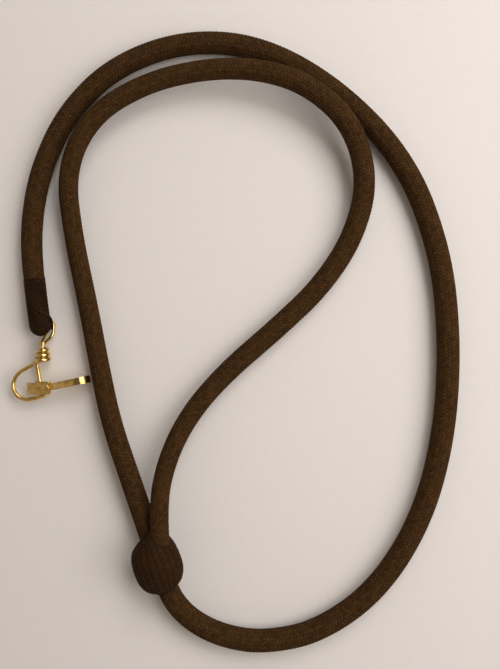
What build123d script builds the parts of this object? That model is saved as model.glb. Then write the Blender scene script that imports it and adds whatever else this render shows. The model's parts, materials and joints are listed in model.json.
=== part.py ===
from build123d import *
import math
import os

# A braided cord lead with a slip loop: one round cord, a slide knob and a small swivel snap.
# The cord lies flat on the ground, z = 0. +Y points along the lead towards the top of the loop,
# +X to the loop's right side. Millimetres.

# ---- driving dimensions ----
CORD_DIAMETER = 9.2
CORE_DIAMETER = 5.0
CORE_GAP = 0.1             # between the core and the cover's bore
ARC_SHARE = 0.45           # share of the shorter run that each arc takes up

WHIPPING_LENGTH = 19.0
WHIPPING_THICKNESS = 0.35
END_DOME_LENGTH = 4.2
DOME_EDGE_SHARE = 0.9      # of the dome's length that its edge rounds off
END_EYE_X = -21.35         # of the small side eye's middle
EYE_THREAD = 1.0
EYE_THREAD_RADIUS = 1.7    # of the small side eye, to the middle of its thread
EYE_RISE = 0.4             # of the side eye's middle above the wire that turns in it

KNOB_WIDTH = 20.8
KNOB_LENGTH = 22.5
KNOB_END_WIDTH = 12.6
KNOB_END_SLOPE = 0.45      # how fast the barrel widens from its ends
KNOB_COVER_THICKNESS = 1.6
KNOB_GAP = 0.2             # between the bead and its cover
BORE_CLEARANCE = 0.3       # radial, around the cord
SOCKET_REACH = 24.0        # of the cut for the fixed end, from its floor out past the knob's mouth
BINDING_WIDTH = 1.8
KNOB_FOOT_DISTANCE = 6.2   # from the bend below the knob to the knob's foot, along the cord
BORE_DROP = 4.0            # of the bore below the knob's middle

WIRE = 1.8                 # of the snap's hook and bow
EYE_WIRE = 1.4             # of the swivel eye
COIL_TURNS = 2.75
COIL_PITCH = 2.1
COIL_TOP_RADIUS = 1.95
COIL_FOOT_RADIUS = 3.1
SHANK_COLLAR_RADIUS = 1.3
SHANK_HEAD_RADIUS = 1.35
SHANK_HEAD_LENGTH = 1.1
SNAP_HEIGHT = 4.2          # of the snap's plane above the ground
SLEEVE_SIZE = (6.2, 4.8, 3.8)
SLEEVE_EDGE_RADIUS = 0.8
PIN_DIAMETER = 1.6
PIN_FIT = 0.05             # radial running clearance of the lever on its pin
PIN_HEAD_DIAMETER = 3.0
PIN_HEAD_HEIGHT = 0.6
LEVER_SHEET = 0.8
LEVER_WIDTH = 3.0
LEVER_GAP = 0.3            # between the lever's plate and the sleeve
LEVER_TIP_HEIGHT = 3.4
LEVER_ARCH = (0.5, 9.4)    # top of the thumb loop: share of the arm's length, and height
LEVER_RETURN = (0.62, 2.6)  # lowest part of the thumb loop, in the same way
ARCH_START_SLOPE = 0.5
RETURN_START_SLOPE = 0.3
RETURN_END_SLOPE = 0.7
CAM_CURL_RADIUS = 2.1      # of the plate's end, curled down as the cam
CAM_CURL_TURN = 150        # degrees that the curl goes round
STAND_OFF = 0.3            # between pieces that move past each other

# The cord's route from the snap's end, round the outside, through the knob and up the loop's
# left side, over the top and down to the joint between the two cover lengths.
STANDING_ROUTE = [
    (-26.6, 57.5, 6.4), (-28.8, 79.5, 5.1), (-28.9, 101.5, 4.7), (-24.5, 124.5, 4.7),
    (-13.0, 148.5, 4.7), (7.5, 168.5, 4.7), (38.0, 179.5, 4.7), (71.0, 177.0, 4.7),
    (105.0, 157.5, 4.7), (134.0, 126.5, 4.7), (148.5, 88.0, 4.7), (152.5, 50.0, 4.7),
    (150.5, 10.0, 4.7), (141.0, -27.0, 4.7), (122.0, -58.0, 4.7), (96.5, -76.5, 4.7),
    (73.0, -81.4, 4.7), (56.0, -79.2, 4.8), (42.2, -72.6, 5.7), (32.4, -62.6, 6.6),
    (6.0, 14.0, 6.4), (0.5, 39.5, 5.2), (-4.5, 66.0, 5.0), (-10.5, 95.0, 6.2),
    (-13.0, 122.5, 9.3), (-2.0, 145.5, 9.5), (20.5, 159.5, 9.2), (46.5, 165.5, 10.0),
    (71.0, 164.5, 12.3), (92.0, 157.0, 13.2), (109.5, 141.0, 12.0), (116.5, 118.0, 8.4),
    (111.0, 94.5, 5.4), (97.0, 73.0, 4.7), (78.0, 55.0, 4.7), (66.5, 45.1, 4.8),
]
KNOB_RUN = 19              # the long straight run of that route, where the knob slides
# The fixed strand goes on from that joint to its end in the knob.
FIXED_ROUTE = [
    (66.5, 45.1, 4.8), (55.0, 35.2, 4.9), (39.8, 17.6, 7.2), (30.6, -1.0, 10.4),
    (27.9, -20.5, 13.4), (29.6, -38.5, 14.4),
]

# ---- knob placement: its bore follows the straight stretch of the standing part ----
foot_bend = Vector(*STANDING_ROUTE[KNOB_RUN])
loop_bend = Vector(*STANDING_ROUTE[KNOB_RUN + 1])
slide_direction = (loop_bend - foot_bend).normalized()
bore_middle = foot_bend + slide_direction * (KNOB_FOOT_DISTANCE + KNOB_LENGTH / 2)
knob_middle = bore_middle + Vector(0, 0, BORE_DROP)
side_direction = slide_direction.cross(Vector(0, 0, 1)).normalized()
knob_top_direction = side_direction.cross(slide_direction).normalized()

# ---- snap placement, from the swivel eye down ----
EYE_BAR = (57.4, 1.9)      # y and z of the bar that turns in the cord's end eye
EYE_BASE_Y = 48.0          # where the eye's two legs leave the shank
EYE_ROUTE = [
    (-23.5, EYE_BASE_Y, SNAP_HEIGHT), (-19.7, 51.6, 3.6), (-19.7, *EYE_BAR),
    (-23.0, *EYE_BAR), (-23.2, 52.2, 1.0), (-24.7, EYE_BASE_Y, SNAP_HEIGHT),
]
EYE_ARCS = [4.5, 1.5, 1.5, 4.0]  # radii of the eye's four bends
AXIS_X = -24.1             # of the shank and coil
COIL_TOP_Y = 46.0
SPINE_FOOT = (-24.6, 27.2)
SLEEVE_MIDDLE = (-23.75, 29.2)
BOW_PIVOT = (-23.2, 25.6)
BOW_ROUTE = [
    (*BOW_PIVOT, SNAP_HEIGHT), (-28.2, 23.8, SNAP_HEIGHT), (-34.2, 23.9, SNAP_HEIGHT),
    (-37.6, 29.4, SNAP_HEIGHT), (-35.2, 35.1, SNAP_HEIGHT), (-28.1, 39.0, SNAP_HEIGHT),
]
PIN_PLACE = (-21.9, 29.0)
LEVER_TIP = (-3.3, 32.9)
PLATE_LOW = (-30.6, 26.2)  # corners of the lever's plate, seen from above
PLATE_HIGH = (-19.9, 31.1)


def arc_radii(points):
    """The radius of each corner's arc: as large as the two runs beside it allow."""
    places = [Vector(*point) for point in points]
    radii = []
    for before, corner, after in zip(places, places[1:], places[2:]):
        incoming = corner - before
        outgoing = after - corner
        half_turn = math.radians(incoming.get_angle(outgoing)) / 2
        shorter = min(incoming.length, outgoing.length)
        radii.append(ARC_SHARE * shorter / math.tan(half_turn))
    return radii


def tube(name, points, outer, inner, radii=None):
    """A round tube, or a round rod where inner is 0, swept along the route."""
    radii = radii or arc_radii(points)
    with BuildPart() as swept:
        with BuildLine() as path:
            FilletPolyline(*points, radius=radii)
        with BuildSketch(Plane(origin=path.line @ 0, z_dir=path.line % 0)):
            Circle(outer / 2)
            if inner:
                Circle(inner / 2, mode=Mode.SUBTRACT)
        sweep()
    length = path.wire().length
    section = math.pi * (outer**2 - inner**2) / 4
    print(f"{name}: length {length:.1f}, smallest arc {min(radii):.1f},"
          f" volume ratio {swept.part.volume / (section * length):.4f}")
    return swept


os.makedirs("parts", exist_ok=True)

# ---- the cord: a braided cover around a core, in two lengths that meet in the loop ----
cover_bore = CORE_DIAMETER + 2 * CORE_GAP
standing_radii = arc_radii(STANDING_ROUTE)
for radius in standing_radii + arc_radii(FIXED_ROUTE):
    print(f"arc radius {radius:.1f} mm, {radius / CORD_DIAMETER:.1f} diameters")

with BuildPart() as end_eye:
    with BuildSketch(Plane.XZ.offset(-EYE_BAR[0])):
        with Locations((END_EYE_X, EYE_BAR[1] + EYE_RISE + EYE_THREAD_RADIUS)):
            Circle(EYE_THREAD / 2)
    revolve(axis=Axis((END_EYE_X, EYE_BAR[0], EYE_BAR[1] + EYE_RISE), (1, 0, 0)))
end_eye.part.label = "end_eye"
export_step(end_eye.part, "parts/end_eye.step")

standing_tube = tube("rope_cover", STANDING_ROUTE, CORD_DIAMETER, cover_bore)
with BuildPart() as rope_cover:
    add(standing_tube.part)
    add(end_eye.part, mode=Mode.SUBTRACT)
rope_cover.part.label = "rope_cover"
export_step(rope_cover.part, "parts/rope_cover.step")

rope_core = tube("rope_core", STANDING_ROUTE, CORE_DIAMETER, 0)
rope_core.part.label = "rope_core"
export_step(rope_core.part, "parts/rope_core.step")

loop_cover = tube("loop_cover", FIXED_ROUTE, CORD_DIAMETER, cover_bore)
loop_cover.part.label = "loop_cover"
export_step(loop_cover.part, "parts/loop_cover.step")

loop_core = tube("loop_core", FIXED_ROUTE, CORE_DIAMETER, 0)
loop_core.part.label = "loop_core"
export_step(loop_core.part, "parts/loop_core.step")

# ---- whipping: thread wound tightly round the cord's end, closed by a dome ----
end_middle = Vector(*STANDING_ROUTE[0])
end_direction = (end_middle - Vector(*STANDING_ROUTE[1])).normalized()
second_run_middle = (Vector(*STANDING_ROUTE[1]) + Vector(*STANDING_ROUTE[2])) / 2
whipping_route = [STANDING_ROUTE[0], STANDING_ROUTE[1], tuple(second_run_middle)]
whipping_diameter = CORD_DIAMETER + 2 * WHIPPING_THICKNESS
whipping_tube = tube("whipping", whipping_route, whipping_diameter, CORD_DIAMETER, [standing_radii[0]])
with BuildPart() as whipping_thread:
    add(whipping_tube.part)
    split(bisect_by=Plane(end_middle - end_direction * WHIPPING_LENGTH, z_dir=end_direction))
    with BuildSketch(Plane(end_middle, z_dir=end_direction)):
        Circle(whipping_diameter / 2)
    extrude(amount=END_DOME_LENGTH)
    dome_edge = whipping_thread.faces().sort_by(Axis(end_middle, end_direction))[-1].edges()
    fillet(dome_edge, END_DOME_LENGTH * DOME_EDGE_SHARE)
    add(end_eye.part, mode=Mode.SUBTRACT)
whipping_thread.part.label = "whipping_thread"
export_step(whipping_thread.part, "parts/whipping_thread.step")


# ---- slide knob ----
knob_plane = Plane(origin=knob_middle, x_dir=side_direction, z_dir=slide_direction)
profile_plane = Plane(origin=knob_middle, x_dir=side_direction, z_dir=-knob_top_direction)


def barrel(inset):
    """The knob's body, pulled in by the inset: a barrel with rounded ends."""
    half_length = KNOB_LENGTH / 2 - inset
    half_width = KNOB_WIDTH / 2 - inset
    end_half_width = KNOB_END_WIDTH / 2 - inset / 2
    with BuildPart() as body:
        with BuildSketch(profile_plane):
            with BuildLine():
                Line((0, half_length), (0, -half_length))
                Line((0, -half_length), (end_half_width, -half_length))
                Spline((end_half_width, -half_length), (half_width, 0), (end_half_width, half_length),
                       tangents=[(1, KNOB_END_SLOPE), (-1, KNOB_END_SLOPE)])
                Line((end_half_width, half_length), (0, half_length))
            make_face()
        revolve(axis=Axis(knob_middle, slide_direction))
    return body


def knob_openings():
    """The bore that slides on the cord, and the socket that holds the fixed end."""
    with BuildPart() as openings:
        with BuildSketch(Plane(origin=bore_middle, x_dir=side_direction, z_dir=slide_direction)):
            Circle(CORD_DIAMETER / 2 + BORE_CLEARANCE)
        extrude(amount=KNOB_LENGTH, both=True)
        socket_end = FIXED_ROUTE[-1]
        socket_mouth = FIXED_ROUTE[-2]
        socket_direction = (Vector(*socket_mouth) - Vector(*socket_end)).normalized()
        socket_start = Vector(*socket_end) - socket_direction * STAND_OFF
        with BuildSketch(Plane(origin=socket_start, z_dir=socket_direction)):
            Circle(CORD_DIAMETER / 2 + BORE_CLEARANCE)
        extrude(amount=SOCKET_REACH)
    return openings


knob_holes = knob_openings()
bead = barrel(KNOB_COVER_THICKNESS + KNOB_GAP)
outer_barrel = barrel(0)
inner_barrel = barrel(KNOB_COVER_THICKNESS)

with BuildPart() as knob_core:
    add(bead.part)
    add(knob_holes.part, mode=Mode.SUBTRACT)
knob_core.part.label = "knob_core"
export_step(knob_core.part, "parts/knob_core.step")


def binding(end):
    """Thread turns let into one end of the knob cover; end is +1 at the mouth, -1 at the foot."""
    place = knob_middle + slide_direction * (end * (KNOB_LENGTH / 2 - BINDING_WIDTH / 2))
    with BuildPart() as ring:
        with BuildSketch(Plane(origin=place, x_dir=side_direction, z_dir=slide_direction)):
            Circle(KNOB_WIDTH / 2)
            Circle(KNOB_END_WIDTH / 2 - KNOB_COVER_THICKNESS / 2, mode=Mode.SUBTRACT)
        extrude(amount=BINDING_WIDTH / 2, both=True)
        add(outer_barrel.part, mode=Mode.INTERSECT)
        add(knob_holes.part, mode=Mode.SUBTRACT)
    return ring


knob_mouth_binding = binding(1)
knob_mouth_binding.part.label = "knob_mouth_binding"
export_step(knob_mouth_binding.part, "parts/knob_mouth_binding.step")

knob_foot_binding = binding(-1)
knob_foot_binding.part.label = "knob_foot_binding"
export_step(knob_foot_binding.part, "parts/knob_foot_binding.step")

with BuildPart() as knob_cover:
    add(outer_barrel.part)
    add(inner_barrel.part, mode=Mode.SUBTRACT)
    add(knob_holes.part, mode=Mode.SUBTRACT)
    add(knob_mouth_binding.part, mode=Mode.SUBTRACT)
    add(knob_foot_binding.part, mode=Mode.SUBTRACT)
knob_cover.part.label = "knob_cover"
export_step(knob_cover.part, "parts/knob_cover.step")

# ---- swivel eye: a bent wire through the cord's end eye, with a headed shank ----
shank_foot_y = COIL_TOP_Y - COIL_PITCH * (COIL_TURNS - 0.5)
eye_loop = tube("swivel_eye", EYE_ROUTE, EYE_WIRE, 0, EYE_ARCS)
with BuildPart() as swivel_eye:
    add(eye_loop.part)
    with BuildSketch(Plane.XZ.offset(-(EYE_BASE_Y + EYE_WIRE / 2))):
        with Locations((AXIS_X, SNAP_HEIGHT)):
            Circle(SHANK_COLLAR_RADIUS)
    extrude(amount=EYE_WIRE)
    with BuildSketch(Plane.XZ.offset(-EYE_BASE_Y)):
        with Locations((AXIS_X, SNAP_HEIGHT)):
            Circle(EYE_WIRE / 2)
    extrude(amount=EYE_BASE_Y - shank_foot_y)
    with BuildSketch(Plane.XZ.offset(-shank_foot_y)):
        with Locations((AXIS_X, SNAP_HEIGHT)):
            Circle(SHANK_HEAD_RADIUS)
    extrude(amount=-SHANK_HEAD_LENGTH)
swivel_eye.part.label = "swivel_eye"
export_step(swivel_eye.part, "parts/swivel_eye.step")

# ---- hook: wire coiled round the shank, then straight down as the spine ----
coil_height = COIL_PITCH * COIL_TURNS
coil_angle = math.degrees(math.atan((COIL_FOOT_RADIUS - COIL_TOP_RADIUS) / coil_height))
with BuildPart() as hook_wire:
    with BuildLine() as coil:
        Helix(COIL_PITCH, coil_height, COIL_TOP_RADIUS, center=(AXIS_X, COIL_TOP_Y, SNAP_HEIGHT),
              direction=(0, -1, 0), cone_angle=coil_angle)
    with BuildSketch(Plane(origin=coil.line @ 0, z_dir=coil.line % 0)):
        Circle(WIRE / 2)
    sweep()
    coil_end = coil.line @ 1
    with Locations(coil_end):
        Sphere(WIRE / 2)
    with BuildSketch(Plane(origin=coil_end, z_dir=Vector(*SPINE_FOOT, SNAP_HEIGHT) - coil_end)):
        Circle(WIRE / 2)
    extrude(amount=(Vector(*SPINE_FOOT, SNAP_HEIGHT) - coil_end).length)
hook_wire.part.label = "hook_wire"
export_step(hook_wire.part, "parts/hook_wire.step")

# ---- bow: the springy wire that closes against the spine ----
bow_tube = tube("bow_wire", BOW_ROUTE, WIRE, 0)
with BuildPart() as bow_wire:
    add(bow_tube.part)
    with Locations(Vector(*BOW_PIVOT, SNAP_HEIGHT)):
        Sphere(WIRE / 2)
bow_wire.part.label = "bow_wire"
export_step(bow_wire.part, "parts/bow_wire.step")

# ---- sleeve clamped on the spine, with the rivet that the lever turns on ----
sleeve_foot = SNAP_HEIGHT - SLEEVE_SIZE[2] / 2
sleeve_top = SNAP_HEIGHT + SLEEVE_SIZE[2] / 2
lever_foot = sleeve_top + LEVER_GAP
lever_top = lever_foot + LEVER_SHEET
pin_head_foot = lever_top + LEVER_GAP / 2
with BuildPart() as lever_pin:
    with BuildSketch(Plane.XY.offset(sleeve_foot)):
        with Locations(PIN_PLACE):
            Circle(PIN_DIAMETER / 2)
    extrude(amount=pin_head_foot - sleeve_foot)
    with BuildSketch(Plane.XY.offset(pin_head_foot)):
        with Locations(PIN_PLACE):
            Circle(PIN_HEAD_DIAMETER / 2)
    extrude(amount=PIN_HEAD_HEIGHT)
    fillet(lever_pin.faces().sort_by(Axis.Z)[-1].edges(), PIN_HEAD_HEIGHT / 2)
lever_pin.part.label = "lever_pin"
export_step(lever_pin.part, "parts/lever_pin.step")

with BuildPart() as lever_sleeve:
    with Locations((*SLEEVE_MIDDLE, SNAP_HEIGHT)):
        Box(*SLEEVE_SIZE)
    fillet(lever_sleeve.edges().filter_by(Axis.Y), SLEEVE_EDGE_RADIUS)
    add(hook_wire.part, mode=Mode.SUBTRACT)
    add(lever_pin.part, mode=Mode.SUBTRACT)
lever_sleeve.part.label = "lever_sleeve"
export_step(lever_sleeve.part, "parts/lever_sleeve.step")

# ---- lever: a folded strip, its plate on the rivet, a closed thumb loop and a cam nose ----
arm = Vector(*LEVER_TIP, 0) - Vector(*PIN_PLACE, 0)
arm_direction = arm.normalized()
arm_side = arm_direction.cross(Vector(0, 0, 1)).normalized()
arm_plane = Plane(origin=(*PIN_PLACE, 0), x_dir=arm_direction, z_dir=arm_side)
arm_start = PIN_HEAD_DIAMETER / 2 + STAND_OFF
loop_top = (arm.length * LEVER_ARCH[0], LEVER_ARCH[1])
loop_tip = (arm.length, LEVER_TIP_HEIGHT)
loop_low = (arm.length * LEVER_RETURN[0], LEVER_RETURN[1])
curl_x = PLATE_LOW[0] + CAM_CURL_RADIUS
plate_width = PLATE_HIGH[1] - PLATE_LOW[1]
plate_middle_y = (PLATE_LOW[1] + PLATE_HIGH[1]) / 2
curl_middle = (curl_x, plate_middle_y, lever_top - CAM_CURL_RADIUS)
curl_plane = Plane(origin=curl_middle, x_dir=(1, 0, 0), z_dir=(0, -1, 0))
with BuildPart() as lever:
    with BuildSketch(Plane.XY.offset(lever_foot)):
        with Locations(((curl_x + PLATE_HIGH[0]) / 2, plate_middle_y)):
            Rectangle(PLATE_HIGH[0] - curl_x, plate_width)
        fillet(vertices().group_by(Axis.X)[-1], LEVER_SHEET)
        with Locations(PIN_PLACE):
            Circle(PIN_DIAMETER / 2 + PIN_FIT, mode=Mode.SUBTRACT)
    extrude(amount=LEVER_SHEET)
    with BuildSketch(curl_plane):
        with BuildLine():
            CenterArc((0, 0), CAM_CURL_RADIUS - LEVER_SHEET / 2, 90, CAM_CURL_TURN)
        trace(line_width=LEVER_SHEET)
    extrude(amount=plate_width / 2, both=True)
    with BuildSketch(arm_plane):
        with BuildLine() as loop_outline:
            Spline((arm_start, lever_top), loop_top, loop_tip, tangents=[(1, ARCH_START_SLOPE), (0, -1)])
            Spline(loop_tip, loop_low, (arm_start, lever_foot),
                   tangents=[(-RETURN_START_SLOPE, -1), (-1, RETURN_END_SLOPE)])
            Line((arm_start, lever_foot), (arm_start, lever_top))
        make_face()
        offset(loop_outline.line, amount=-LEVER_SHEET, mode=Mode.SUBTRACT)
    extrude(amount=LEVER_WIDTH / 2, both=True)
lever.part.label = "lever"
export_step(lever.part, "parts/lever.step")
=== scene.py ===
"""A braided cord lead with a slip loop, a braid-covered slide knob and a small brass swivel snap."""

import json
import math

import bpy
import numpy as np
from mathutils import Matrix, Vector


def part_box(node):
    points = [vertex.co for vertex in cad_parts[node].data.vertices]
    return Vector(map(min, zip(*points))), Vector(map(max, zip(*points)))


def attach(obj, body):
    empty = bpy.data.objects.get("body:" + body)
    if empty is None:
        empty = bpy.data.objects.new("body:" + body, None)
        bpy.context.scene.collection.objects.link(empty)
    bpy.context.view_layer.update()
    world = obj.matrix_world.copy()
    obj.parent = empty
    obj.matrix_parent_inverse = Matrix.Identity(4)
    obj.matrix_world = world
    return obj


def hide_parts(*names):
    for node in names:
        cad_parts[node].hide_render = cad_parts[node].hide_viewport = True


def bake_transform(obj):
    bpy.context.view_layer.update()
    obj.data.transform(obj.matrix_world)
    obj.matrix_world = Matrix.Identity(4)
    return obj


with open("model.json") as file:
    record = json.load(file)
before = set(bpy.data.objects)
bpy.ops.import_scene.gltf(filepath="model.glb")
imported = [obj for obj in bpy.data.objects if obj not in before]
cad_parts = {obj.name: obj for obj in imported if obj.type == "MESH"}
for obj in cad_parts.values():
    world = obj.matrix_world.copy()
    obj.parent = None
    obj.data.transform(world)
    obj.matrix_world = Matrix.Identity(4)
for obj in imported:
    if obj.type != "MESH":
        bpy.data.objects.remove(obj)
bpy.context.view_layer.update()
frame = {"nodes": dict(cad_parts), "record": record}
MM = 0.001
TINY = 1e-12

# ---- the camera, straight above the lead as it lies on the ground ----
CAMERA_PLACE = (0.066, 0.052, 0.320)
VIEW_HEIGHT = 0.2944       # of the ground that the picture shows
NEAR_CLIP = 0.01

# ---- the cord's route, from the snap's end, round the outside, through the knob and over the loop ----
GROUND_HEIGHT = 4.7 * MM   # of the route's line where the cord lies on the ground
STANDING_ROUTE = [
    (-0.0245, 0.0560, 0.0070), (-0.0283, 0.0795, 0.0052), (-0.0289, 0.1015, 0.0047),
    (-0.0245, 0.1245, 0.0047), (-0.0130, 0.1485, 0.0047), (0.0075, 0.1685, 0.0047),
    (0.0380, 0.1795, 0.0047), (0.0710, 0.1770, 0.0047), (0.1050, 0.1575, 0.0047),
    (0.1340, 0.1265, 0.0047), (0.1485, 0.0880, 0.0047), (0.1525, 0.0500, 0.0047),
    (0.1505, 0.0100, 0.0047), (0.1410, -0.0270, 0.0047), (0.1220, -0.0580, 0.0047),
    (0.0965, -0.0765, 0.0047), (0.0730, -0.0814, 0.0047), (0.0560, -0.0792, 0.0048),
    (0.0422, -0.0726, 0.0057), (0.0324, -0.0626, 0.0066), (0.0278, -0.0494, 0.0066),
    (0.0145, -0.0107, 0.0065), (0.0060, 0.0140, 0.0064), (0.0005, 0.0395, 0.0052),
    (-0.0045, 0.0660, 0.0050), (-0.0105, 0.0950, 0.0062), (-0.0130, 0.1225, 0.0093),
    (-0.0020, 0.1455, 0.0095), (0.0205, 0.1595, 0.0092), (0.0465, 0.1655, 0.0100),
    (0.0710, 0.1645, 0.0123), (0.0920, 0.1570, 0.0132), (0.1095, 0.1410, 0.0120),
    (0.1165, 0.1180, 0.0084), (0.1110, 0.0945, 0.0054), (0.0970, 0.0730, 0.0047),
    (0.0780, 0.0550, 0.0047), (0.0665, 0.0451, 0.0048),
]
FIXED_ROUTE = [
    (0.0665, 0.0451, 0.0048), (0.0550, 0.0352, 0.0049), (0.0398, 0.0176, 0.0072),
    (0.0306, -0.0010, 0.0104), (0.0268, -0.0205, 0.0134), (0.0284, -0.0385, 0.0144),
]
ROUTE_ORDER = 3            # of the spline: it bends smoothly and keeps close to its points
ROUTE_RESOLUTION = 24
# How thick the cord is along each length: a share of the way along, and the radius there in millimetres.
STANDING_THICKNESS = [(0.0, 4.2), (0.018, 4.2), (0.024, 4.45), (0.15, 4.6), (0.35, 4.85), (0.52, 4.75),
                      (0.60, 4.45), (0.66, 4.2), (0.72, 4.05), (0.80, 4.25), (0.88, 4.6), (1.0, 4.5)]
FIXED_THICKNESS = [(0.0, 4.5), (0.35, 4.25), (0.7, 3.95), (1.0, 3.9)]
RING_STEP = 0.25 * MM
AROUND = 96

# ---- the braid ----
STRANDS_EACH_WAY = 16
BRAID_ROW = 1.5 * MM       # along the cord, between strands that run the same way
BRAID_RELIEF = 0.42 * MM
BRAID_LEVEL = 0.8          # the height in the braid that lies at the cord's radius
STRAND_ROUNDNESS = 0.55    # the part of a strand's height that its round shape gives
STRAND_WAVE = 0.45         # and the part from passing over and under the others
VALLEY_DEPTH = 0.2         # how far the gaps between strands reach below a strand's foot
STRAND_TONE_STEP = 12.9898
STRAND_TONE_SPREAD = 43758.5453

# ---- the whipped end ----
WHIPPING_LENGTH = 20.5 * MM
WHIP_THREAD = 0.95 * MM
WHIP_PITCH = 0.95 * MM
WHIP_LIFT = 0.02 * MM      # of the thread's own line over the cord's radius
WHIP_START = 0.3 * MM      # from the dome's tip to the thread's start
TURN_POINTS = 30
DOME_LENGTH = 4.3 * MM
DOME_INSET = 0.2 * MM      # from the thread's line down to the dome, at its tip
DOME_TIP_LEAN = 0.05
DOME_RINGS = 14
DOME_AROUND = 40
# At this height the dome takes the yarn's painted valley shade all over.
DOME_SHADE = 0.3
END_LOOP_THREAD = 1.6 * MM
END_LOOP_SIDES = 12
END_LOOP_STEP = 0.2 * MM
END_LOOP_ROUTE = [
    (-0.0236, 0.0620, 0.0106), (-0.0214, 0.0608, 0.0094), (-0.0199, 0.0590, 0.0072),
    (-0.0200, 0.0566, 0.0050), (-0.0210, 0.0549, 0.0034), (-0.0213, 0.0549, 0.0012),
    (-0.0215, 0.0576, 0.0008), (-0.0229, 0.0600, 0.0026),
]

# ---- threads: the twist's length in diameters, its relief, and the height between its ridges ----
THREAD_SIDES = 8
WOUND_TWIST = (2.2, 0.08, 0.40)
STITCH_TWIST = (1.6, 0.10, 0.55)
WOUND_TONE_WAVE = 700      # radians per metre of thread
STITCH_TONE = 0.5

# ---- the slide knob; a lean runs from -1 at its foot to +1 at its mouth ----
KNOB_LENGTH = 22.5 * MM
KNOB_RADIUS = 10.4 * MM
KNOB_RINGS = 150
KNOB_AROUND = 220
KNOB_END_LEAN = 0.985
END_BLUNTNESS = 0.86       # powers of the outline: smaller stays wide for longer
MOUTH_FULLNESS = 0.52
FOOT_FULLNESS = 0.72
MOUTH_LIP = 4.8 * MM
KNOB_COLUMNS = 22
KNOB_STITCH = 2.3 * MM
KNOB_SLANT = 0.75          # of a stitch, across one column
COLUMN_SHIFT = 0.37        # of a stitch, from one column to the next
KNOB_RELIEF = 0.34 * MM
KNOB_LEVEL = 0.85          # the height in the braid that lies at the knob's outline
COLUMN_ROUNDNESS = 0.55
STITCH_ROUNDNESS = 0.45
RELIEF_FADE = 0.5 * KNOB_RADIUS    # inside this radius, at the ends, the relief fades out
COLUMN_TONE_STEP = 7.1
STITCH_TONE_STEP = 3.3
KNOB_TONE_SPREAD = 431.7
WINDING_TURNS = 3
WINDING_TURN_POINTS = 60
WINDING_LEANS = (0.80, 0.90)
WINDING_THREAD = 0.8 * MM
WINDING_LIFT = 0.05 * MM
STITCH_COUNT = 5
STITCH_POINTS = 9
STITCH_LEAN = 0.52
STITCH_HALF_LENGTH = 0.05  # in leans
STITCH_FIRST_ANGLE = 62    # degrees round the knob
STITCH_SPACING = 11
STITCH_LIFT = 0.25 * MM
STITCH_THREAD = 0.55 * MM
STITCH_UP = (0.31, 0.12, 0.94)     # a direction that no stitch runs along

# ---- floor and light ----
FLOOR_HALF = 1.5
LIGHT_TARGET = (0.06, 0.05, 0.0)
LIGHTS = [                 # name, place, size, watts and colour
    ("window", (0.30, 0.60, 0.62), 0.45, 2.9, (1.0, 0.98, 0.965)),
    ("side", (0.50, 0.06, 0.50), 0.5, 2.6, (1.0, 0.975, 0.95)),
    ("room", (-0.50, -0.20, 0.85), 0.9, 0.6, (1.0, 0.80, 0.58)),
]
HORIZON_LIGHT = (0.50, 0.46, 0.42)
ZENITH_LIGHT = (0.13, 0.115, 0.10)
SKY_LOW, SKY_HIGH = 0.1, 0.9       # between these heights the sky goes from one light to the other


# ---- lines, rings and meshes ----
def add_object(name, data):
    """A new object in the scene."""
    thing = bpy.data.objects.new(name, data)
    bpy.context.collection.objects.link(thing)
    return thing


def dress(piece, material):
    piece.data.materials.clear()
    piece.data.materials.append(material)


def route_line(points):
    """Points read from one smooth NURBS spline with the route's points as its control points."""
    curve = bpy.data.curves.new("route", "CURVE")
    curve.dimensions = "3D"
    spline = curve.splines.new("NURBS")
    spline.points.add(len(points) - 1)
    for control, place in zip(spline.points, points):
        control.co = (*place, 1)
    spline.order_u = ROUTE_ORDER
    spline.use_endpoint_u = True
    spline.resolution_u = ROUTE_RESOLUTION
    holder = add_object("route", curve)
    bpy.context.view_layer.update()
    mesh = bpy.data.meshes.new_from_object(holder)
    line = np.array([vertex.co for vertex in mesh.vertices])
    bpy.data.objects.remove(holder)
    return line


def line_lengths(line):
    """The distance along the line to each of its points."""
    return np.concatenate([[0], np.cumsum(np.linalg.norm(np.diff(line, axis=0), axis=1))])


def even_line(line, step):
    """The line again, in points a step apart, and their distances along it."""
    lengths = line_lengths(line)
    places = np.linspace(0, lengths[-1], max(2, round(lengths[-1] / step) + 1))
    return np.stack([np.interp(places, lengths, line[:, axis]) for axis in range(3)], axis=1), places


def cross_frames(line, up=(0, 0, 1)):
    """Unit vectors along the line, to its side and upwards from it, at each point."""
    along = np.gradient(line, axis=0)
    along /= np.linalg.norm(along, axis=1)[:, None]
    side = np.cross(along, np.array(up, float))
    side /= np.linalg.norm(side, axis=1)[:, None]
    return along, side, np.cross(side, along)


def ring_angles(count):
    return np.arange(count) * 2 * math.pi / count


def ring_points(line, side, top, radius):
    """Rings of points round the line, each at its own radius, turning from the side to the top."""
    angles = ring_angles(radius.shape[1])
    spokes = np.cos(angles)[None, :, None] * side[:, None] + np.sin(angles)[None, :, None] * top[:, None]
    return line[:, None] + spokes * radius[..., None]


def round_point(centre, side, top, radius, angle):
    """One point at a radius and an angle round a centre, turning from the side to the top."""
    return centre + radius * (math.cos(angle) * side + math.sin(angle) * top)


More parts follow.
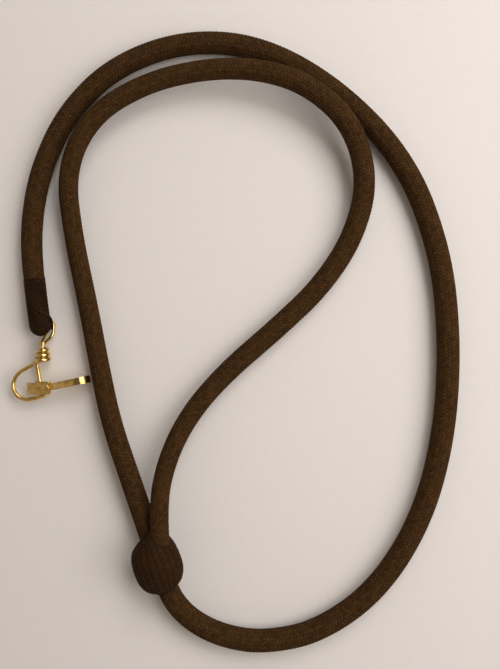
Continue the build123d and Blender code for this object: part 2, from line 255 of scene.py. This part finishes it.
def grid_mesh(name, rings, attributes):
    """A closed mesh from rings of points, each joined to the next. Attributes are one number per point."""
    ring_count, around = rings.shape[:2]
    points = rings.reshape(-1, 3)
    ring, corner = np.meshgrid(np.arange(ring_count - 1), np.arange(around), indexing="ij")
    next_corner = (corner + 1) % around
    quads = np.stack([ring * around + corner, ring * around + next_corner,
                      (ring + 1) * around + next_corner, (ring + 1) * around + corner], axis=-1)
    faces = quads.reshape(-1, 4).tolist()
    last = (ring_count - 1) * around
    first_centre = len(points)
    points = np.concatenate([points, [rings[0].mean(axis=0), rings[-1].mean(axis=0)]])
    for index in range(around):
        following = (index + 1) % around
        faces.append([following, index, first_centre])
        faces.append([last + index, last + following, first_centre + 1])
    mesh = bpy.data.meshes.new(name)
    mesh.from_pydata(points.tolist(), [], faces)
    for key, values in attributes.items():
        flat = values.reshape(-1)
        flat = np.concatenate([flat, np.full(len(points) - len(flat), flat.mean())])
        mesh.attributes.new(key, "FLOAT", "POINT").data.foreach_set("value", flat.astype(np.float32))
    mesh.shade_smooth()
    return add_object(name, mesh)


# ---- braiding ----
def rounded(fraction):
    """The height of a round strand across its width."""
    return np.sqrt(np.clip(1 - (2 * fraction - 1) ** 2, 0, 1))


def scattered(number, spread):
    """A value from 0 to 1 for each number, with no order that shows among neighbours."""
    return np.mod(np.sin(number) * spread, 1)


def braid(angle, distance):
    """Height, 0 to 1, and tone, 0 to 1, of a two-over-two-under braid at an angle and distance."""
    turns = STRANDS_EACH_WAY * angle / (2 * math.pi)
    right = turns + distance / BRAID_ROW
    left = turns - distance / BRAID_ROW
    right_strand, left_strand = np.floor(right), np.floor(left)
    right_part, left_part = right - right_strand, left - left_strand
    order = right_strand + left_strand
    right_wave = np.sin(math.pi * np.mod(order + left_part, 4) / 2)
    left_wave = -np.sin(math.pi * np.mod(order + right_part, 4) / 2)
    right_height = STRAND_ROUNDNESS * rounded(right_part) + STRAND_WAVE * right_wave
    left_height = STRAND_ROUNDNESS * rounded(left_part) + STRAND_WAVE * left_wave
    on_top = right_height > left_height
    height = np.where(on_top, right_height, left_height)
    strand = np.where(on_top, np.mod(right_strand, STRANDS_EACH_WAY),
                      STRANDS_EACH_WAY + np.mod(left_strand, STRANDS_EACH_WAY))
    tone = scattered(strand * STRAND_TONE_STEP, STRAND_TONE_SPREAD)
    return np.clip((height + VALLEY_DEPTH) / (1 + VALLEY_DEPTH), 0, 1), tone


# ---- materials ----
def new_material(name):
    """A node material; returns it with its node tree and its shader."""
    material = bpy.data.materials.new(name)
    material.use_nodes = True
    tree = material.node_tree
    return material, tree, tree.nodes["Principled BSDF"]


def mix_colours(tree, factor, first, second):
    """A colour mixed from two, each a colour or a socket, by a socket's factor."""
    mix = tree.nodes.new("ShaderNodeMix")
    mix.data_type = "RGBA"
    tree.links.new(factor, mix.inputs["Factor"])
    for socket, value in ((mix.inputs["A"], first), (mix.inputs["B"], second)):
        if isinstance(value, tuple):
            socket.default_value = (*value, 1)
        else:
            tree.links.new(value, socket)
    return mix.outputs["Result"]


def noise(tree, scale, detail=3.0):
    """Noise in the object's own coordinates, at a scale per metre."""
    coordinates = tree.nodes.new("ShaderNodeTexCoord")
    texture = tree.nodes.new("ShaderNodeTexNoise")
    texture.inputs["Scale"].default_value = scale
    texture.inputs["Detail"].default_value = detail
    tree.links.new(coordinates.outputs["Object"], texture.inputs["Vector"])
    return texture.outputs["Fac"]


def ramp(tree, source, low, high):
    """The source spread from 0 at low to 1 at high."""
    node = tree.nodes.new("ShaderNodeMapRange")
    node.inputs["From Min"].default_value = low
    node.inputs["From Max"].default_value = high
    tree.links.new(source, node.inputs["Value"])
    return node.outputs["Result"]


def attribute(tree, name):
    """The number that a mesh carries at each point under a name."""
    node = tree.nodes.new("ShaderNodeAttribute")
    node.attribute_name = name
    return node.outputs["Fac"]


def bump(tree, shader, source, strength, distance):
    """Fine relief in the shader's normal."""
    node = tree.nodes.new("ShaderNodeBump")
    node.inputs["Strength"].default_value = strength
    node.inputs["Distance"].default_value = distance
    tree.links.new(source, node.inputs["Height"])
    tree.links.new(node.outputs["Normal"], shader.inputs["Normal"])


def yarn_material(name, valley_shade, dark, light, fleck, roughness):
    """Braided or wound yarn: painted shade between its strands, each strand its own tone, with fine
    fibres.
    """
    material, tree, shader = new_material(name)
    strands = mix_colours(tree, attribute(tree, "tone"), dark, light)
    flecks = ramp(tree, noise(tree, scale=2600), low=0.50, high=0.80)
    fibres = mix_colours(tree, flecks, strands, fleck)
    # Low heights, in the gaps between strands and between a thread's twist ridges, take the valley colour:
    # a painted shade.
    ridges = ramp(tree, attribute(tree, "height"), low=0.30, high=0.85)
    tree.links.new(mix_colours(tree, ridges, valley_shade, fibres), shader.inputs["Base Color"])
    shader.inputs["Roughness"].default_value = roughness
    shader.inputs["Specular IOR Level"].default_value = 0.08
    bump(tree, shader, noise(tree, scale=5200, detail=2.0), strength=0.5, distance=0.12 * MM)
    return material


def brass_material():
    """Polished brass wire, a little tarnished and scratched."""
    material, tree, shader = new_material("brass")
    tarnish = ramp(tree, noise(tree, scale=420, detail=5.0), low=0.42, high=0.7)
    colour = mix_colours(tree, tarnish, (0.82, 0.58, 0.21), (0.50, 0.31, 0.09))
    tree.links.new(colour, shader.inputs["Base Color"])
    # Noise from 0 to 1 becomes a roughness from about 0.06 to 0.33.
    roughness = ramp(tree, noise(tree, scale=500, detail=2.0), low=-0.2, high=3.4)
    tree.links.new(roughness, shader.inputs["Roughness"])
    shader.inputs["Metallic"].default_value = 1.0
    bump(tree, shader, noise(tree, scale=1500, detail=2.0), strength=0.06, distance=0.04 * MM)
    return material


def plain_material(name, dark, light, roughness):
    """A matt surface with a slight mottle."""
    material, tree, shader = new_material(name)
    tree.links.new(mix_colours(tree, noise(tree, scale=300), dark, light), shader.inputs["Base Color"])
    shader.inputs["Roughness"].default_value = roughness
    bump(tree, shader, noise(tree, scale=1800), strength=0.3, distance=0.1 * MM)
    return material


# Each yarn's valley colour is the painted shade in the gaps between its strands.
cord_braid = yarn_material("cord_braid", valley_shade=(0.0085, 0.0032, 0.0007), dark=(0.034, 0.0140, 0.0034),
                           light=(0.064, 0.0290, 0.0080), fleck=(0.120, 0.064, 0.0200), roughness=0.85)
knob_braid = yarn_material("knob_braid", valley_shade=(0.0130, 0.0052, 0.0013), dark=(0.022, 0.0088, 0.0023),
                           light=(0.034, 0.0145, 0.0040), fleck=(0.056, 0.0280, 0.0090), roughness=0.8)
dark_thread = yarn_material("dark_thread", valley_shade=(0.0085, 0.0034, 0.0009), dark=(0.020, 0.0085, 0.0024),
                            light=(0.036, 0.0160, 0.0048), fleck=(0.062, 0.0310, 0.0105), roughness=0.7)
stitch_thread = yarn_material("stitch_thread", valley_shade=(0.010, 0.004, 0.001), dark=(0.026, 0.0115, 0.0032),
                              light=(0.034, 0.0155, 0.0045), fleck=(0.052, 0.0260, 0.0085), roughness=0.7)
brass = brass_material()
bead_wood = plain_material("bead_wood", dark=(0.30, 0.19, 0.10), light=(0.42, 0.29, 0.16), roughness=0.55)
paper = plain_material("paper", dark=(0.78, 0.735, 0.70), light=(0.81, 0.765, 0.73), roughness=0.8)


# ---- the cord's two lengths ----
def laid_line(route, table):
    """The route's line, evenly spaced and let down onto the ground where the cord is thinner."""
    line, places = even_line(route_line(route), RING_STEP)
    shares, table_radii = zip(*table)
    radii = np.interp(places / places[-1], shares, table_radii) * MM
    line[:, 2] -= GROUND_HEIGHT - radii
    line[:, 2] = np.maximum(line[:, 2], radii)
    return line, places, radii


def braided_cord(name, line, places, radii, start_distance):
    """One length of cord; its braid goes on from the start distance."""
    height, tone = braid(ring_angles(AROUND)[None, :], (places + start_distance)[:, None])
    surface = radii[:, None] + BRAID_RELIEF * (height - BRAID_LEVEL)
    _, side, top = cross_frames(line)
    piece = grid_mesh(name, ring_points(line, side, top, surface), {"height": height, "tone": tone})
    dress(piece, cord_braid)
    return piece


standing_line, standing_places, standing_radii = laid_line(STANDING_ROUTE, STANDING_THICKNESS)
fixed_line, fixed_places, fixed_radii = laid_line(FIXED_ROUTE, FIXED_THICKNESS)
lead_cord = braided_cord("lead_cord", standing_line, standing_places, standing_radii, 0)
loop_strand = braided_cord("loop_strand", fixed_line, fixed_places, fixed_radii, standing_places[-1])


# ---- threads ----
def thread(name, line, side, top, diameter, sides, twist_look, tone, material):
    """A round thread along a line, with its twist as a fine ridge."""
    twist_length, relief, valley_height = twist_look
    turns = 2 * math.pi * line_lengths(line)[:, None] / (twist_length * diameter)
    twist = 0.5 + 0.5 * np.cos(2 * ring_angles(sides)[None, :] - turns)
    radii = diameter / 2 * (1 - relief + relief * twist)
    # The low height between the twist's ridges takes the yarn's painted valley shade.
    height = valley_height + (1 - valley_height) * twist
    marks = {"height": height, "tone": np.broadcast_to(tone, twist.shape)}
    piece = grid_mesh(name, ring_points(line, side, top, radii), marks)
    dress(piece, material)
    return piece


def wound_thread(name, points, diameter, sides=THREAD_SIDES):
    """A dark thread that winds: its cross-frames are taken from the line's own bend."""
    line = np.array(points, float)
    along = np.gradient(line, axis=0)
    along /= np.linalg.norm(along, axis=1)[:, None]
    outward = -np.gradient(along, axis=0)
    outward -= (outward * along).sum(axis=1)[:, None] * along
    outward /= np.linalg.norm(outward, axis=1)[:, None] + TINY
    across = np.cross(along, outward)
    tone = (0.5 + 0.5 * np.sin(line_lengths(line) * WOUND_TONE_WAVE))[:, None]
    return thread(name, line, outward, across, diameter, sides, WOUND_TWIST, tone, dark_thread)


# ---- the whipped end ----
whip_radius = standing_radii[0] + WHIP_LIFT
dome_travel = DOME_LENGTH * math.pi / 2
end_along, end_side, end_top = (vectors[0] for vectors in cross_frames(standing_line))


def whipping_point(travel, angle):
    """A point on the whipped end; travel is from the tip of its dome, over its surface."""
    if travel < dome_travel:
        lean = travel / DOME_LENGTH
        centre = standing_line[0] - end_along * DOME_LENGTH * math.cos(lean)
        return round_point(centre, end_side, end_top, whip_radius * math.sin(lean), angle)
    index = min(int((travel - dome_travel) / RING_STEP), len(standing_line) - 2)
    part = (travel - dome_travel) / RING_STEP - index
    centre = standing_line[index] * (1 - part) + standing_line[index + 1] * part
    _, sides, tops = cross_frames(standing_line[index:index + 3])
    return round_point(centre, sides[0], tops[0], whip_radius, angle)


def wound_whipping():
    """The thread's close turns, from the dome's tip up the cord."""
    whole_travel = dome_travel + WHIPPING_LENGTH
    step_count = int(whole_travel / WHIP_PITCH) * TURN_POINTS
    points = []
    for step in range(step_count):
        travel = WHIP_START + (whole_travel - WHIP_START) * step / step_count
        points.append(whipping_point(travel, 2 * math.pi * step / TURN_POINTS))
    return wound_thread("whipping", points, WHIP_THREAD)


def cord_end_dome():
    """The dome under the thread, closing the cord's cut end."""
    leans = np.linspace(DOME_TIP_LEAN, math.pi / 2, DOME_RINGS)
    centres = standing_line[0] - np.outer(np.cos(leans) * (DOME_LENGTH - DOME_INSET), end_along)
    radii = np.repeat((np.sin(leans) * standing_radii[0])[:, None], DOME_AROUND, axis=1)
    # Height 0.3 puts the whole dome in the yarn's painted valley shade.
    shade = np.full(radii.shape, DOME_SHADE)
    rings = ring_points(centres, end_side[None], end_top[None], radii)
    piece = grid_mesh("end_dome", rings, {"height": shade, "tone": shade})
    dress(piece, dark_thread)
    return piece


whipping = wound_whipping()
end_dome = cord_end_dome()
end_loop_line, _ = even_line(route_line(END_LOOP_ROUTE), END_LOOP_STEP)
end_loop = wound_thread("end_loop", end_loop_line, END_LOOP_THREAD, END_LOOP_SIDES)

# ---- the slide knob ----
slide_axis = Vector(frame["record"]["behaviour"]["joints"][0]["axis"]).normalized()
knob_low, knob_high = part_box("knob_cover")
knob_middle = np.array((Vector(knob_low) + Vector(knob_high)) / 2)
knob_axis = np.array(slide_axis)
knob_side = np.array(slide_axis.cross(Vector((0, 0, 1))).normalized())
knob_top = np.cross(knob_side, knob_axis)


def knob_outline(lean):
    """Distance along the axis and from it, at a lean from the foot (-1) to the mouth (+1)."""
    angle = lean * math.pi / 2
    along = np.sign(np.sin(angle)) * np.abs(np.sin(angle)) ** END_BLUNTNESS
    fullness = np.where(lean > 0, MOUTH_FULLNESS, FOOT_FULLNESS)
    return along * KNOB_LENGTH / 2, np.abs(np.cos(angle)) ** fullness * KNOB_RADIUS


def mouth_lip(lean, angle):
    """How far the mouth's rim reaches further along on the side of the fixed strand."""
    return MOUTH_LIP * np.clip(lean, 0, 1) ** 2 * (0.5 + 0.5 * np.cos(angle))


def knob_point(along, radius, angle):
    """One point at a distance along the knob's axis, a radius and an angle."""
    return round_point(knob_middle + knob_axis * along, knob_side, knob_top, radius, angle)


def braided_knob():
    """The knob's cover, braided in lengthwise columns of slanting stitches."""
    leans = np.linspace(-KNOB_END_LEAN, KNOB_END_LEAN, KNOB_RINGS)
    along, radius = knob_outline(leans)
    travel = np.concatenate([[0], np.cumsum(np.hypot(np.diff(along), np.diff(radius)))])
    angles = ring_angles(KNOB_AROUND)[None, :]
    column = KNOB_COLUMNS * angles / (2 * math.pi)
    column_number = np.floor(column)
    column_part = column - column_number
    slant = np.where(np.mod(column_number, 2) < 1, 1, -1) * (column_part - 0.5) * KNOB_SLANT
    stitch = travel[:, None] / KNOB_STITCH + slant + COLUMN_SHIFT * column_number
    stitch_number = np.floor(stitch)
    stitch_part = stitch - stitch_number
    height = COLUMN_ROUNDNESS * rounded(column_part) + STITCH_ROUNDNESS * rounded(stitch_part)
    tone = scattered(column_number * COLUMN_TONE_STEP + stitch_number * STITCH_TONE_STEP, KNOB_TONE_SPREAD)
    fade = np.clip(radius / RELIEF_FADE, 0, 1)[:, None]
    surface = radius[:, None] + KNOB_RELIEF * (height - KNOB_LEVEL) * fade
    centres = knob_middle + np.outer(along, knob_axis)
    rings = ring_points(centres, knob_side[None], knob_top[None], surface)
    rings += mouth_lip(leans[:, None], angles)[..., None] * knob_axis
    piece = grid_mesh("knob_braid", rings, {"height": height, "tone": tone})
    dress(piece, knob_braid)
    return piece


def knob_winding(name, low, high):
    """Thread turns round one end of the knob, between two leans."""
    step_count = WINDING_TURNS * WINDING_TURN_POINTS
    points = []
    for step in range(step_count):
        lean = low + (high - low) * step / step_count
        along, radius = knob_outline(lean)
        angle = 2 * math.pi * step / WINDING_TURN_POINTS
        points.append(knob_point(along + mouth_lip(lean, angle), radius + WINDING_LIFT, angle))
    return wound_thread(name, points, WINDING_THREAD)


def knob_stitch(number):
    """One of the short stitches in a row on the shoulder below the mouth."""
    angle = math.radians(STITCH_FIRST_ANGLE + STITCH_SPACING * number)
    points = []
    for part in np.linspace(-1, 1, STITCH_POINTS):
        along, radius = knob_outline(STITCH_LEAN + STITCH_HALF_LENGTH * part)
        points.append(knob_point(along, radius + STITCH_LIFT * (1 - part * part), angle))
    line = np.array(points, float)
    _, side, top = cross_frames(line, STITCH_UP)
    return thread(f"knob_stitch_{number + 1}", line, side, top, STITCH_THREAD, THREAD_SIDES,
                  STITCH_TWIST, STITCH_TONE, stitch_thread)


knob = braided_knob()
mouth_winding = knob_winding("mouth_winding", *WINDING_LEANS)
foot_winding = knob_winding("foot_winding", *(-lean for lean in WINDING_LEANS))
stitches = [knob_stitch(number) for number in range(STITCH_COUNT)]

# ---- what rides on what ----
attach(lead_cord, "cord")
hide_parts("rope_cover", "rope_core")
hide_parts("loop_cover", "loop_core")
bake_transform(loop_strand)
for piece, node in ((whipping, "whipping_thread"), (end_loop, "end_eye")):
    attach(piece, "cord")
    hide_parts(node)
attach(end_dome, "cord")
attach(knob, "slide_knob")
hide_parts("knob_cover")
for piece, node in ((mouth_winding, "knob_mouth_binding"), (foot_winding, "knob_foot_binding")):
    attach(piece, "slide_knob")
    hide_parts(node)
for piece in stitches:
    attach(piece, "slide_knob")
for node in ("swivel_eye", "hook_wire", "bow_wire", "lever_sleeve", "lever_pin", "lever"):
    dress(frame["nodes"][node], brass)
dress(frame["nodes"]["knob_core"], bead_wood)


# ---- floor, light and camera ----
def paper_floor():
    """The flat sheet that the lead lies on."""
    mesh = bpy.data.meshes.new("floor")
    mesh.from_pydata([(-FLOOR_HALF, -FLOOR_HALF, 0), (FLOOR_HALF, -FLOOR_HALF, 0),
                      (FLOOR_HALF, FLOOR_HALF, 0), (-FLOOR_HALF, FLOOR_HALF, 0)], [], [(0, 1, 2, 3)])
    sheet = add_object("floor", mesh)
    dress(sheet, paper)
    return sheet


def area_light(name, place, size, power, colour):
    """A square light that faces the lead's middle."""
    data = bpy.data.lights.new(name, "AREA")
    data.size = size
    data.energy = power
    data.color = colour
    light = add_object(name, data)
    light.location = place
    light.rotation_euler = (Vector(LIGHT_TARGET) - Vector(place)).to_track_quat("-Z", "Y").to_euler()


def room_sky():
    """Soft light from all round, which darkens from the horizon upwards."""
    world = bpy.data.worlds.new("studio")
    world.use_nodes = True
    tree = world.node_tree
    place = tree.nodes.new("ShaderNodeTexCoord")
    axes = tree.nodes.new("ShaderNodeSeparateXYZ")
    tree.links.new(place.outputs["Generated"], axes.inputs["Vector"])
    sky = mix_colours(tree, ramp(tree, axes.outputs["Z"], SKY_LOW, SKY_HIGH), HORIZON_LIGHT, ZENITH_LIGHT)
    tree.links.new(sky, tree.nodes["Background"].inputs["Color"])
    return world


def overhead_camera():
    """A camera that looks straight down and frames the view's height on the ground."""
    data = bpy.data.cameras.new("camera")
    data.sensor_fit = "VERTICAL"
    data.angle = 2 * math.atan(VIEW_HEIGHT / 2 / CAMERA_PLACE[2])
    data.clip_start = NEAR_CLIP
    camera = add_object("camera", data)
    camera.location = CAMERA_PLACE
    return camera


floor = paper_floor()
for light_values in LIGHTS:
    area_light(*light_values)
scene = bpy.context.scene
scene.world = room_sky()
scene.camera = overhead_camera()
scene.view_settings.view_transform = "Standard"
